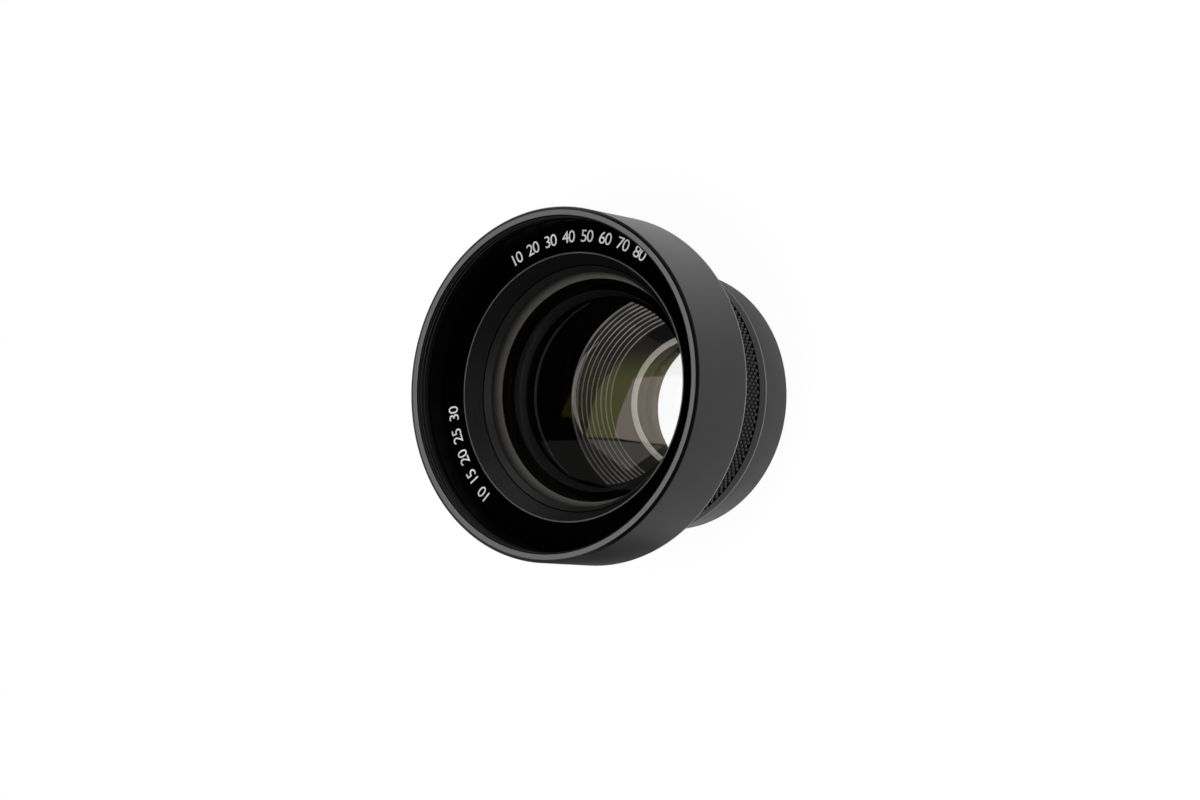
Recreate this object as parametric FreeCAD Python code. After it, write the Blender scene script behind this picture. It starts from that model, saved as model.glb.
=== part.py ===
# A screw-on telephoto converter: a wide front shell, a knurled grip, and a tapered rear shell
# that screws onto a fixed camera lens. Inside are a front group of three glass elements, a
# ribbed light trap and a single rear element. All sizes are in millimetres. The optical axis
# is +Z, the front faces up, and z = 0 is the rear face that the converter stands on.

import FreeCAD
import Part
import math
import os

# Threads. The mount thread, given by the bore left inside it, is the size that all other
# radii build on, through the walls, steps and ledges named below
mount_thread_bore = 24.1
mount_thread_length = 2.2
filter_thread_length = 3.3
thread_relief = 0.5
relief_width = 0.7

# Running and fitting gaps
slip = 0.05
stack_gap = 0.1

# Front shell
rim_wall = 2.0
rim_rounding = 0.4
barrel_flare = 0.35
rim_bevel = 0.4
front_shell_length = 17.0
shoulder_edge_bevel = 0.3
shoulder_height = 6.6
neck_height = 1.4
neck_wall = 2.4
front_shell_wall = 2.9
collar_height = 2.2
seat_rib_height = 2.4
seat_rib_slope = 1.0

# Name ring and the flange below it
name_ring_depth = 7.95
name_ring_thickness = 1.05
name_ring_width = 6.0
flange_thickness = 1.8

# Front baffle ring, with fine light-trap grooves
baffle_ring_step = 1.5
baffle_ring_lip = 0.3
baffle_ring_proud = 0.55
baffle_ring_height = 3.75
baffle_ring_setback = 0.2
baffle_groove_count = 14
baffle_groove_depth = 0.12

# Ring that holds the front element
front_ring_wall = 1.3
front_ring_height = 1.5
front_ring_face = 0.8
front_ring_lip = 0.15

# Front element
front_element_step = 2.5
front_element_edge = 2.4
front_element_front_sphere = 62.0
front_element_rear_sphere = 200.0
front_element_rear_land = 0.8
front_element_front_land = 0.5

# Spacer below the front element, a cone that shows through the glass
front_spacer_height = 1.95

# Front cell
cell_wall = 2.65
cell_floor = 1.9
cell_pilot_wall = 1.5
cell_pilot_height = 4.5
cell_lip_height = 1.1
cell_lip_ledge = 1.3
cell_lip_wall = 2.9

# Cemented pair
crown_front_sphere = 100.0
crown_rear_sphere = 90.0
crown_edge = 1.5
flint_centre = 1.8
flint_rear_sphere = 200.0
crown_front_land = 1.0

# Ring that holds the cemented pair, with a cone face and a long inner wall
doublet_ring_ledge = 2.9
doublet_ring_height = 4.4
doublet_ring_throat_drop = 1.75
doublet_ring_flare = 1.35
doublet_slot_inset = 1.2

# Setting shim between the cell and the main tube
shim_thickness = 0.2

# Main tube
main_tube_wall = 2.65
main_tube_step = 0.85
main_tube_foot_ledge = 0.95
main_tube_inner_ledge = 2.75
main_tube_relief = 2.6
main_tube_land = 2.6
main_tube_screw_land = 2.8

# Light trap: a collar, a long smooth wall and a ribbed floor around the rear element
trap_wall = 1.45
trap_collar_height = 2.0
trap_setback = 0.15
trap_wall_taper = 0.1
trap_first_rib = 0.35
trap_rib_count = 8
trap_rib_drop = 2.1
trap_rib_crest = 0.12
trap_rib_depth = 0.6
trap_foot_edge = 0.8

# Knurled grip
grip_seat_z = 13.1
knurl_cells = 120
knurl_rows = 10
knurl_row_height = 0.775
knurl_depth = 0.62
grip_wall = 1.95
grip_end_gap = 0.15

# Rear shell
rear_shell_wall = 3.3
rear_shell_flare = 1.45
rear_lead_length = 1.95
rear_lead_in = 0.4
rear_groove_width = 0.35
rear_groove_depth = 0.9
rear_edge_bevel = 0.35

# Rear cell
rear_flange_thickness = 1.4
rear_flange_gap = 0.2
rear_cell_pilot_height = 1.6
rear_cell_pilot_wall = 1.6
rear_boss_proud = 0.6
rear_boss_wall = 1.1
rear_cell_lip = 0.9
rear_cell_lip_height = 0.4
rear_cell_lip_wall = 1.3
rear_cell_deck = 0.9

# Rear element
rear_element_radius = 11.6
rear_element_edge = 2.1
rear_element_sphere = 92.0
rear_element_rim = 1.75

# Ring that holds the rear element
rear_ring_wall = 0.7
rear_ring_height = 1.0
rear_ring_cover = 1.7
rear_ring_bevel = 0.3

# Key slots that a pin spanner turns the hidden rings by
slot_width = 1.2
slot_depth = 0.6

# Screws
screw_count = 3
head_radius = 1.4
head_height = 0.7
head_land = 0.15
shank_radius = 0.8
cell_screw_length = 3.8
rear_screw_length = 3.6
drive_width = 0.45
drive_length = 1.5
drive_depth = 0.35
grub_radius = 1.0
grub_socket_radius = 0.5
grub_socket_depth = 1.0
grub_setback = 1.85

# Radii that follow: the tube, the front group from the tube outwards, and the front shell
main_tube_foot_radius = mount_thread_bore + main_tube_foot_ledge
main_tube_radius = main_tube_foot_radius + main_tube_step
pilot_bore = main_tube_radius - main_tube_wall
pilot_radius = pilot_bore - slip
doublet_ring_radius = pilot_radius - cell_pilot_wall
doublet_radius = doublet_ring_radius - doublet_ring_ledge
doublet_bevel_radius = doublet_radius - crown_front_land
doublet_ring_mouth = doublet_bevel_radius + 2 * slip
doublet_ring_throat = doublet_ring_mouth + doublet_ring_flare
pair_bore = doublet_radius + slip
cell_lip_radius = doublet_radius - cell_lip_ledge
front_element_radius = doublet_ring_radius + front_element_step
front_element_land = front_element_radius - front_element_rear_land
front_element_bevel_radius = front_element_radius - front_element_front_land
front_spacer_throat = doublet_ring_radius
cell_bore = front_element_radius + slip
front_ring_radius = front_element_radius + front_ring_wall
front_ring_top = front_ring_radius - front_ring_face
front_ring_mouth = front_element_bevel_radius + slip
cell_outer = front_ring_radius + cell_wall - slip
baffle_ring_radius = front_ring_radius + baffle_ring_step
baffle_ring_mouth = front_ring_top + baffle_ring_setback
name_ring_radius = baffle_ring_radius + name_ring_width
filter_thread_bore = name_ring_radius + 2 * slip
seat_rib_bore = cell_outer + 2 * slip
front_shell_radius = filter_thread_bore + rim_wall
shoulder_radius = front_shell_radius + barrel_flare
neck_radius = main_tube_radius + neck_wall

# Radii that follow: the grip, the rear shell and the rear group
grip_bore = main_tube_radius + slip
knurl_root_radius = grip_bore + grip_wall
knurl_tip_radius = knurl_root_radius + knurl_depth
rear_face_radius = mount_thread_bore + rear_shell_wall
rear_ridge_radius = rear_face_radius + rear_shell_flare
rear_lead_radius = rear_ridge_radius - rear_lead_in
rear_groove_radius = rear_lead_radius - rear_groove_depth
rear_flange_radius = mount_thread_bore - rear_flange_gap
rear_ring_radius = rear_element_radius + rear_ring_wall
rear_ring_mouth = rear_element_radius - rear_ring_cover
rear_element_land = rear_element_radius - rear_element_rim
rear_cell_lip_radius = rear_element_radius - rear_cell_lip
rear_boss_radius = rear_ring_radius + rear_boss_wall
trap_radius = pilot_bore - main_tube_inner_ledge
trap_bore = trap_radius + slip
trap_front_radius = cell_lip_radius - trap_setback
rear_cell_lip_outer = rear_element_radius + rear_cell_lip_wall
trap_rib_end_radius = rear_cell_lip_outer + 2 * slip
trap_outer_radius = trap_front_radius + trap_wall

# Heights that follow from the ones above, from the rear face up
rear_ridge_z = grip_seat_z - rear_groove_width - rear_lead_length
recess_floor_z = mount_thread_length + relief_width
tube_foot_z = recess_floor_z + rear_flange_thickness
rear_boss_z = recess_floor_z - rear_boss_proud
rear_ring_z = rear_boss_z + stack_gap
rear_element_z = rear_ring_z + rear_ring_height
rear_cell_lip_z = rear_element_z + rear_element_edge
rear_cell_top_z = rear_cell_lip_z + rear_cell_lip_height
grip_top_z = grip_seat_z + knurl_rows * knurl_row_height
collar_z = grip_top_z + grip_end_gap
neck_top_z = collar_z + neck_height
shoulder_top_z = neck_top_z + shoulder_height
front_face_z = shoulder_top_z + front_shell_length
name_face_z = front_face_z - name_ring_depth
flange_top_z = name_face_z - name_ring_thickness
ledge_z = flange_top_z - flange_thickness
baffle_ring_top_z = name_face_z + baffle_ring_proud
baffle_ring_z = baffle_ring_top_z - baffle_ring_height
front_ring_z = baffle_ring_z - front_ring_height
front_element_z = front_ring_z - front_element_edge
front_seat_z = front_element_z - front_spacer_height
pair_top_z = front_seat_z - doublet_ring_height


def sagitta(sphere, radius):
    return sphere - math.sqrt(sphere * sphere - radius * radius)


flint_edge = flint_centre + sagitta(crown_rear_sphere, doublet_radius) + sagitta(
    flint_rear_sphere, cell_lip_radius)
flint_top_z = pair_top_z - crown_edge
pair_seat_z = flint_top_z - flint_edge
cell_foot_z = pair_seat_z - cell_lip_height
cell_flange_z = front_seat_z - cell_floor
tube_top_z = cell_flange_z - shim_thickness
trap_top_z = cell_foot_z - stack_gap
rear_cell_deck_z = tube_foot_z + rear_cell_deck
trap_ribs_z = rear_cell_deck_z + trap_foot_edge + trap_rib_drop


# Tools that every piece uses
def point(radius, height):
    return FreeCAD.Vector(radius, 0, height)


def line(start, end):
    return Part.LineSegment(point(*start), point(*end)).toShape()


def bow(start, middle, end):
    return Part.Arc(point(*start), point(*middle), point(*end)).toShape()


def turn(edges):
    profile = Part.Face(Part.Wire(edges))
    return profile.revolve(FreeCAD.Vector(0, 0, 0), FreeCAD.Vector(0, 0, 1), 360)


def turn_outline(points):
    closed = points + points[:1]
    return turn([line(a, b) for a, b in zip(closed, closed[1:])])


def around(shape, count, start_angle=0.0):
    copies = []
    for step in range(count):
        copy = shape.copy()
        copy.rotate(FreeCAD.Vector(0, 0, 0), FreeCAD.Vector(0, 0, 1), start_angle + 360.0 * step / count)
        copies.append(copy)
    return Part.makeCompound(copies)


def spanner_slots(inner, outer, face_z, opens_down):
    low = face_z - 1 if opens_down else face_z - slot_depth
    slot = Part.makeBox(outer - inner + 1, slot_width, slot_depth + 1)
    slot.translate(FreeCAD.Vector(inner, -slot_width / 2, low))
    return around(slot, 2)


# Shells
def front_shell():
    rim_inner = filter_thread_bore + rim_bevel
    thread_end = front_face_z - rim_bevel - filter_thread_length
    relief_end = thread_end - relief_width
    relief_radius = filter_thread_bore + thread_relief
    hollow = front_shell_radius - front_shell_wall
    bore = main_tube_radius + slip
    inner_cone_z = collar_z + collar_height
    round_x = rim_rounding * (1 - math.sqrt(0.5))
    outer_edge = (front_shell_radius, front_face_z - rim_rounding)
    round_mid = (front_shell_radius - round_x, front_face_z - round_x)
    face_edge = (front_shell_radius - rim_rounding, front_face_z)
    bevel = shoulder_edge_bevel
    path = [
        face_edge,
        (rim_inner, front_face_z),
        (filter_thread_bore, front_face_z - rim_bevel),
        (filter_thread_bore, thread_end),
        (relief_radius, thread_end),
        (relief_radius, relief_end),
        (filter_thread_bore, relief_end),
        (filter_thread_bore, ledge_z),
        (seat_rib_bore, ledge_z),
        (seat_rib_bore, ledge_z - seat_rib_height),
        (hollow, ledge_z - seat_rib_height - seat_rib_slope),
        (hollow, inner_cone_z + hollow - bore),
        (bore, inner_cone_z),
        (bore, collar_z),
        (neck_radius, collar_z),
        (neck_radius, neck_top_z),
        (shoulder_radius - bevel, shoulder_top_z),
        (shoulder_radius, shoulder_top_z + bevel),
        outer_edge,
    ]
    edges = [line(a, b) for a, b in zip(path, path[1:])]
    shell = turn(edges + [bow(outer_edge, round_mid, face_edge)])
    return shell.cut(cell_screws_at(slip))


def rear_shell():
    bore = main_tube_foot_radius + slip
    relief_radius = mount_thread_bore + thread_relief
    bevel = rear_edge_bevel
    return turn_outline([
        (mount_thread_bore + bevel, 0),
        (rear_face_radius - bevel, 0),
        (rear_face_radius, bevel),
        (rear_ridge_radius, rear_ridge_z),
        (rear_lead_radius, grip_seat_z - rear_groove_width),
        (rear_groove_radius, grip_seat_z - rear_groove_width),
        (rear_groove_radius, grip_seat_z),
        (bore, grip_seat_z),
        (bore, tube_foot_z - stack_gap),
        (mount_thread_bore, tube_foot_z - stack_gap),
        (mount_thread_bore, recess_floor_z),
        (relief_radius, recess_floor_z),
        (relief_radius, mount_thread_length),
        (mount_thread_bore, mount_thread_length),
        (mount_thread_bore, bevel),
    ])


# Knurled grip: a lattice of four-sided points, low where two grooves cross
def knurl_point(column, row):
    angle = math.pi * column / knurl_cells
    radius = knurl_root_radius if (column + row) % 2 == 0 else knurl_tip_radius
    height = grip_seat_z + row * knurl_row_height
    return FreeCAD.Vector(radius * math.cos(angle), radius * math.sin(angle), height)


def knurl_facets():
    facets = []
    for row in range(knurl_rows):
        for column in range(2 * knurl_cells):
            near, right = knurl_point(column, row), knurl_point(column + 1, row)
            above, far = knurl_point(column, row + 1), knurl_point(column + 1, row + 1)
            if (column + row) % 2 == 0:
                facets += [(near, right, far), (near, far, above)]
            else:
                facets += [(near, right, above), (right, far, above)]
    return facets


def grip_ring():
    faces = [Part.Face(Part.makePolygon([a, b, c, a])) for a, b, c in knurl_facets()]
    for row in (0, knurl_rows):
        rim = [knurl_point(column, row) for column in range(2 * knurl_cells)]
        faces.append(Part.Face(Part.makePolygon(rim + rim[:1])))
    shell = Part.makeShell(faces)
    shell.sewShape()
    blank = Part.makeSolid(shell)
    height = knurl_rows * knurl_row_height
    bore = Part.makeCylinder(grip_bore, height + 2, FreeCAD.Vector(0, 0, grip_seat_z - 1))
    return blank.cut(bore)


# Rings at the front
def name_ring():
    return turn_outline([
        (baffle_ring_radius + slip, flange_top_z),
        (name_ring_radius, flange_top_z),
        (name_ring_radius, name_face_z),
        (baffle_ring_radius + slip, name_face_z),
    ])


def front_baffle_ring():
    top_inner = baffle_ring_radius - baffle_ring_lip
    drop = baffle_ring_height / (baffle_groove_count + 0.5)
    shrink = (top_inner - baffle_ring_mouth) / (baffle_groove_count + 0.5)
    grooves = []
    for groove in range(baffle_groove_count):
        crest = (top_inner - groove * shrink, baffle_ring_top_z - groove * drop)
        root = (crest[0] - shrink / 2 + baffle_groove_depth, crest[1] - drop / 2)
        grooves += [crest, root]
    last_crest = top_inner - baffle_groove_count * shrink
    return turn_outline([
        (baffle_ring_radius, baffle_ring_z),
        (baffle_ring_radius, baffle_ring_top_z),
        *grooves,
        (last_crest, baffle_ring_top_z - baffle_groove_count * drop),
        (baffle_ring_mouth, baffle_ring_z),
    ])


def front_retaining_ring():
    return turn_outline([
        (front_ring_radius - slip, front_ring_z),
        (front_ring_radius - slip, baffle_ring_z),
        (front_ring_top, baffle_ring_z),
        (front_ring_mouth, front_ring_z + front_ring_lip),
        (front_ring_mouth, front_ring_z),
    ])


# Front group
def front_element():
    rim = front_element_radius
    top = front_ring_z
    bevel = front_element_bevel_radius
    crown = sagitta(front_element_front_sphere, bevel)
    half_crown = crown - sagitta(front_element_front_sphere, bevel / 2)
    hollow = sagitta(front_element_rear_sphere, front_element_land)
    half_hollow = hollow - sagitta(front_element_rear_sphere, front_element_land / 2)
    base = front_element_z
    return turn([
        line((0, base + hollow), (0, top + crown)),
        bow((0, top + crown), (bevel / 2, top + half_crown), (bevel, top)),
        line((bevel, top), (rim, top)),
        line((rim, top), (rim, base)),
        line((rim, base), (front_element_land, base)),
        bow((front_element_land, base), (front_element_land / 2, base + half_hollow), (0, base + hollow)),
    ])


def front_spacer():
    return turn_outline([
        (front_spacer_throat, front_seat_z),
        (front_element_radius, front_seat_z),
        (front_element_radius, front_element_z),
        (front_element_land, front_element_z),
    ])


def front_cell():
    lip_outer = cell_lip_radius + cell_lip_wall
    cell = turn_outline([
        (cell_lip_radius, cell_foot_z),
        (lip_outer, cell_foot_z),
        (lip_outer, cell_flange_z - cell_pilot_height),
        (pilot_radius, cell_flange_z - cell_pilot_height),
        (pilot_radius, cell_flange_z),
        (cell_outer, cell_flange_z),
        (cell_outer, ledge_z),
        (name_ring_radius, ledge_z),
        (name_ring_radius, flange_top_z),
        (baffle_ring_radius + slip, flange_top_z),
        (baffle_ring_radius + slip, baffle_ring_z),
        (front_ring_radius, baffle_ring_z),
        (front_ring_radius, front_ring_z),
        (cell_bore, front_ring_z),
        (cell_bore, front_seat_z),
        (doublet_ring_radius, front_seat_z),
        (doublet_ring_radius, pair_top_z - stack_gap),
        (pair_bore, pair_top_z - stack_gap),
        (pair_bore, pair_seat_z),
        (cell_lip_radius, pair_seat_z),
    ])
    return cell.cut(cell_screws_at(slip))


def doublet_retaining_ring():
    outer = doublet_ring_radius - slip
    ring = turn_outline([
        (doublet_ring_mouth, pair_top_z),
        (outer, pair_top_z),
        (outer, front_seat_z),
        (doublet_ring_throat, front_seat_z - doublet_ring_throat_drop),
    ])
    return ring.cut(spanner_slots(doublet_ring_throat + doublet_slot_inset, outer, front_seat_z, False))


def crown_element():
    rim = doublet_radius
    front = sagitta(crown_front_sphere, doublet_bevel_radius)
    half_front = front - sagitta(crown_front_sphere, doublet_bevel_radius / 2)
    belly = sagitta(crown_rear_sphere, rim)
    half_belly = belly - sagitta(crown_rear_sphere, rim / 2)
    bottom = flint_top_z
    return turn([
        line((0, bottom - belly), (0, pair_top_z + front)),
        bow((0, pair_top_z + front), (doublet_bevel_radius / 2, pair_top_z + half_front),
            (doublet_bevel_radius, pair_top_z)),
        line((doublet_bevel_radius, pair_top_z), (rim, pair_top_z)),
        line((rim, pair_top_z), (rim, bottom)),
        bow((rim, bottom), (rim / 2, bottom - half_belly), (0, bottom - belly)),
    ])


def flint_element():
    rim = doublet_radius
    belly = sagitta(crown_rear_sphere, rim)
    half_belly = belly - sagitta(crown_rear_sphere, rim / 2)
    hollow = sagitta(flint_rear_sphere, cell_lip_radius)
    half_hollow = hollow - sagitta(flint_rear_sphere, cell_lip_radius / 2)
    top = flint_top_z
    base = pair_seat_z
    return turn([
        bow((0, top - belly), (rim / 2, top - half_belly), (rim, top)),
        line((rim, top), (rim, base)),
        line((rim, base), (cell_lip_radius, base)),
        bow((cell_lip_radius, base), (cell_lip_radius / 2, base + half_hollow), (0, base + hollow)),
        line((0, base + hollow), (0, top - belly)),
    ])


def setting_shim():
    return turn_outline([
        (pilot_bore, tube_top_z),
        (main_tube_radius, tube_top_z),
        (main_tube_radius, tube_top_z + shim_thickness),
        (pilot_bore, tube_top_z + shim_thickness),
    ])


# Middle
def main_tube():
    relief_radius = trap_bore + main_tube_relief
    upper_land_z = trap_top_z - main_tube_land
    lower_land_z = tube_foot_z + main_tube_screw_land
    tube = turn_outline([
        (trap_bore, tube_foot_z),
        (main_tube_foot_radius, tube_foot_z),
        (main_tube_foot_radius, grip_seat_z),
        (main_tube_radius, grip_seat_z),
        (main_tube_radius, tube_top_z),
        (pilot_bore, tube_top_z),
        (pilot_bore, trap_top_z),
        (trap_bore, trap_top_z),
        (trap_bore, upper_land_z),
        (relief_radius, upper_land_z),
        (relief_radius, lower_land_z),
        (trap_bore, lower_land_z),
    ])
    return tube.cut(grub_screws_at(slip)).cut(rear_screws_at(slip))


def light_trap():
    drop = trap_rib_drop / trap_rib_count
    wall_foot = trap_front_radius - trap_wall_taper
    first_rib = wall_foot - trap_first_rib
    pitch = (first_rib - trap_rib_end_radius) / trap_rib_count
    ribs = []
    for rib in range(trap_rib_count):
        crest = first_rib - rib * pitch
        top = trap_ribs_z - rib * drop
        ribs += [
            (crest, top),
            (crest - (pitch - trap_rib_crest) / 2, top - trap_rib_depth),
            (crest - pitch + trap_rib_crest, top - drop),
        ]
    collar_foot_z = trap_top_z - trap_collar_height
    return turn_outline([
        (trap_rib_end_radius, rear_cell_deck_z),
        (trap_outer_radius, rear_cell_deck_z),
        (trap_outer_radius, collar_foot_z),
        (trap_radius, collar_foot_z),
        (trap_radius, trap_top_z),
        (trap_front_radius, trap_top_z),
        (wall_foot, trap_ribs_z),
        *ribs,
        (trap_rib_end_radius, trap_ribs_z - trap_rib_drop),
    ])


# Rear group
def rear_cell():
    pilot_inner = trap_radius - rear_cell_pilot_wall
    cell = turn_outline([
        (rear_ring_radius, rear_boss_z),
        (rear_boss_radius, rear_boss_z),
        (rear_boss_radius, recess_floor_z),
        (rear_flange_radius, recess_floor_z),
        (rear_flange_radius, tube_foot_z),
        (trap_radius, tube_foot_z),
        (trap_radius, tube_foot_z + rear_cell_pilot_height),
        (pilot_inner, tube_foot_z + rear_cell_pilot_height),
        (pilot_inner, rear_cell_deck_z),
        (rear_cell_lip_outer, rear_cell_deck_z),
        (rear_cell_lip_outer, rear_cell_top_z),
        (rear_cell_lip_radius + rear_cell_lip_height, rear_cell_top_z),
        (rear_cell_lip_radius, rear_cell_lip_z),
        (rear_element_radius + slip, rear_cell_lip_z),
        (rear_element_radius + slip, rear_element_z),
        (rear_ring_radius, rear_element_z),
    ])
    return cell.cut(rear_screws_at(slip))


def rear_element():
    rim = rear_element_radius
    land = rear_element_land
    base = rear_element_z
    top = rear_cell_lip_z
    hollow = sagitta(rear_element_sphere, land)
    half_hollow = hollow - sagitta(rear_element_sphere, land / 2)
    return turn([
        line((0, base + hollow), (0, top - hollow)),
        bow((0, top - hollow), (land / 2, top - half_hollow), (land, top)),
        line((land, top), (rim, top)),
        line((rim, top), (rim, base)),
        line((rim, base), (land, base)),
        bow((land, base), (land / 2, base + half_hollow), (0, base + hollow)),
    ])


def rear_retaining_ring():
    outer = rear_ring_radius - slip
    ring = turn_outline([
        (rear_ring_mouth + rear_ring_bevel, rear_ring_z),
        (outer, rear_ring_z),
        (outer, rear_element_z),
        (rear_ring_mouth, rear_element_z),
        (rear_ring_mouth, rear_ring_z + rear_ring_bevel),
    ])
    return ring.cut(spanner_slots(rear_ring_radius - slot_width, outer, rear_ring_z, True))


# Screws: a gap of zero gives the screws, a wider one gives the holes that they go into
def countersunk_screw(length, gap):
    screw = turn_outline([
        (0, -length - gap),
        (shank_radius + gap, -length - gap),
        (shank_radius + gap, -head_height),
        (head_radius + gap, -head_land),
        (head_radius + gap, gap),
        (0, gap),
    ])
    if gap > 0:
        return screw
    for turned in (0, 90):
        slot = Part.makeBox(drive_length, drive_width, drive_depth + 1)
        slot.translate(FreeCAD.Vector(-drive_length / 2, -drive_width / 2, -drive_depth))
        slot.rotate(FreeCAD.Vector(0, 0, 0), FreeCAD.Vector(0, 0, 1), turned)
        screw = screw.cut(slot)
    return screw


def cell_screws_at(gap):
    screw = countersunk_screw(cell_screw_length, gap)
    ring = (filter_thread_bore + seat_rib_bore) / 2
    screw.translate(FreeCAD.Vector(ring, 0, flange_top_z))
    return around(screw, screw_count)


def rear_screws_at(gap):
    screw = countersunk_screw(rear_screw_length, gap)
    screw.rotate(FreeCAD.Vector(0, 0, 0), FreeCAD.Vector(1, 0, 0), 180)
    ring = (trap_bore + rear_flange_radius) / 2
    screw.translate(FreeCAD.Vector(ring, 0, recess_floor_z))
    return around(screw, screw_count, 30.0)


def grub_screws_at(gap):
    height = tube_top_z - grub_setback
    start = pilot_radius if gap == 0 else pilot_radius - 1
    length = main_tube_radius - start
    screw = Part.makeCylinder(grub_radius + gap, length + gap, FreeCAD.Vector(start, 0, height),
                              FreeCAD.Vector(1, 0, 0))
    if gap == 0:
        socket = Part.makeCylinder(grub_socket_radius, grub_socket_depth + 1,
                                   FreeCAD.Vector(main_tube_radius - grub_socket_depth, 0, height),
                                   FreeCAD.Vector(1, 0, 0))
        screw = screw.cut(socket)
    return around(screw, screw_count, 60.0)


pieces = {
    "front_shell": front_shell(),
    "rear_shell": rear_shell(),
    "grip_ring": grip_ring(),
    "name_ring": name_ring(),
    "front_baffle_ring": front_baffle_ring(),
    "front_retaining_ring": front_retaining_ring(),
    "front_element": front_element(),
    "front_spacer": front_spacer(),
    "front_cell": front_cell(),
    "doublet_retaining_ring": doublet_retaining_ring(),
    "crown_element": crown_element(),
    "flint_element": flint_element(),
    "setting_shim": setting_shim(),
    "main_tube": main_tube(),
    "light_trap": light_trap(),
    "rear_cell": rear_cell(),
    "rear_element": rear_element(),
    "rear_retaining_ring": rear_retaining_ring(),
    "front_cell_screws": cell_screws_at(0),
    "rear_cell_screws": rear_screws_at(0),
    "centring_screws": grub_screws_at(0),
}

os.makedirs("parts", exist_ok=True)
for name, shape in pieces.items():
    shape.exportStep("parts/" + name + ".step")
    print(name, "valid" if shape.isValid() else "NOT VALID", len(shape.Solids), round(shape.Volume, 1))
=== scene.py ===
import bpy
import math
from mathutils import Euler, Matrix, Vector


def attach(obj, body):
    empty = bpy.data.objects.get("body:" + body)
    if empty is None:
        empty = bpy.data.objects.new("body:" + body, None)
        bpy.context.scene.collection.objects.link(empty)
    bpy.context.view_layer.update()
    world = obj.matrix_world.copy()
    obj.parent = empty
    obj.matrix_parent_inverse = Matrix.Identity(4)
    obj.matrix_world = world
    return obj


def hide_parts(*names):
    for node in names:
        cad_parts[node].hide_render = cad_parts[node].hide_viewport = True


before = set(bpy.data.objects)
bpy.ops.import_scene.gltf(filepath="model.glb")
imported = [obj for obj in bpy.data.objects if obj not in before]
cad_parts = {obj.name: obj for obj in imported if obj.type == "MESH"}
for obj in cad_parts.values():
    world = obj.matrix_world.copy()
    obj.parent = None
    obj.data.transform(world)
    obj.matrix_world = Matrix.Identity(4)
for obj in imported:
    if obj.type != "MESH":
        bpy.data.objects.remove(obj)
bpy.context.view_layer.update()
print("frame loaded with", len(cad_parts), "nodes")

mm = 0.001
fullTurn = 2 * math.pi


# Shader sums

class Wire:
    # one socket of a node tree, so that shader maths can be written as plain sums
    def __init__(self, tree, socket=None):
        self.tree = tree
        self.socket = socket

    def node(self, kind, settings=None, inputs=None, out=0):
        made = self.tree.nodes.new(kind)
        for key, value in (settings or {}).items():
            setattr(made, key, value)
        for key, value in (inputs or {}).items():
            if isinstance(value, Wire):
                self.tree.links.new(value.socket, made.inputs[key])
            else:
                made.inputs[key].default_value = value
        return Wire(self.tree, made.outputs[out] if len(made.outputs) else None)

    def maths(self, operation, *others):
        return self.node("ShaderNodeMath", {"operation": operation}, dict(enumerate((self, *others))))

    def __add__(self, other):
        return self.maths("ADD", other)

    def __radd__(self, other):
        return self.maths("ADD", other)

    def __sub__(self, other):
        return self.maths("SUBTRACT", other)

    def __mul__(self, other):
        return self.maths("MULTIPLY", other)

    def between(self, low, high, fromValue=0.0, toValue=1.0):
        # rises smoothly from one value at low to the other at high; low may be the larger
        limits = {"From Min": low, "From Max": high, "To Min": fromValue, "To Max": toValue}
        return self.node("ShaderNodeMapRange", {"interpolation_type": "SMOOTHSTEP"}, {"Value": self, **limits})

    def part(self, axis):
        return self.node("ShaderNodeSeparateXYZ", {}, {0: self}, "XYZ".index(axis))


def newFinish(name):
    finish = bpy.data.materials.new(name)
    finish.use_nodes = True
    finish.node_tree.nodes.clear()
    start = Wire(finish.node_tree)
    return finish, start.node("ShaderNodeTexCoord", out="Object")


def mixColours(factor, first, second):
    # sockets 6 and 7 of the mix node are its two colours, and output 2 is the mixed one
    return factor.node("ShaderNodeMix", {"data_type": "RGBA"}, {"Factor": factor, 6: first, 7: second}, 2)


def closeFinish(finish, shader):
    shader.node("ShaderNodeOutputMaterial", {}, {"Surface": shader})
    return finish


def roundTheAxis(place):
    # radius and height in mm
    x, y = place.part("X"), place.part("Y")
    return (x * x + y * y).maths("SQRT") * 1000, place.part("Z") * 1000


def grey(level):
    return (level, level, level, 1)


def scaled(colour, share):
    return (*[c * share for c in colour], 1)


# Finishes. Each dictionary holds what a user would change; colours are linear.

anodised = {"colour": (0.0115, 0.0115, 0.0118, 1), "worn": (0.015, 0.015, 0.0153, 1), "roughness": 0.42,
            "grain": 5200, "grainHeight": 0.000012}
rearAnodised = dict(anodised, colour=(0.012, 0.012, 0.0123, 1))
# a paler finish for a thin strip along the shells' outer edges
paleEdge = dict(anodised, colour=grey(0.15), worn=grey(0.17))
# the black paint inside the front shell starts below this radius and height, and the front face of the rim is painted
# paler as a painted highlight. Radii and heights are in mm, and cornerSide is in m along X.
shellZones = {"paint": grey(0.0006), "paintRadius": 33.7, "paintTop": 45.85,
              # crest is the colour of the painted highlight on the thread crests near the mouth
              "crest": grey(0.024), "crestHeights": (42.8, 44.6), "crestRadii": (33.24, 33.13),
              # rim is the colour of the painted highlight on the front face of the rim
              "rim": grey(0.09), "rimRadius": 34.38, "rimTop": 45.9,
              # cornerFoot and cornerSide bound the corner of the rim that is painted black as painted shade
              "cornerFoot": 45.68, "cornerSide": (0.006, 0.018)}
# the knurl's valley colour is painted shade, its tip colour a painted highlight
knurl = {"valley": grey(0.004), "tip": grey(0.025), "low": 27.9, "high": 28.4}
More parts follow.
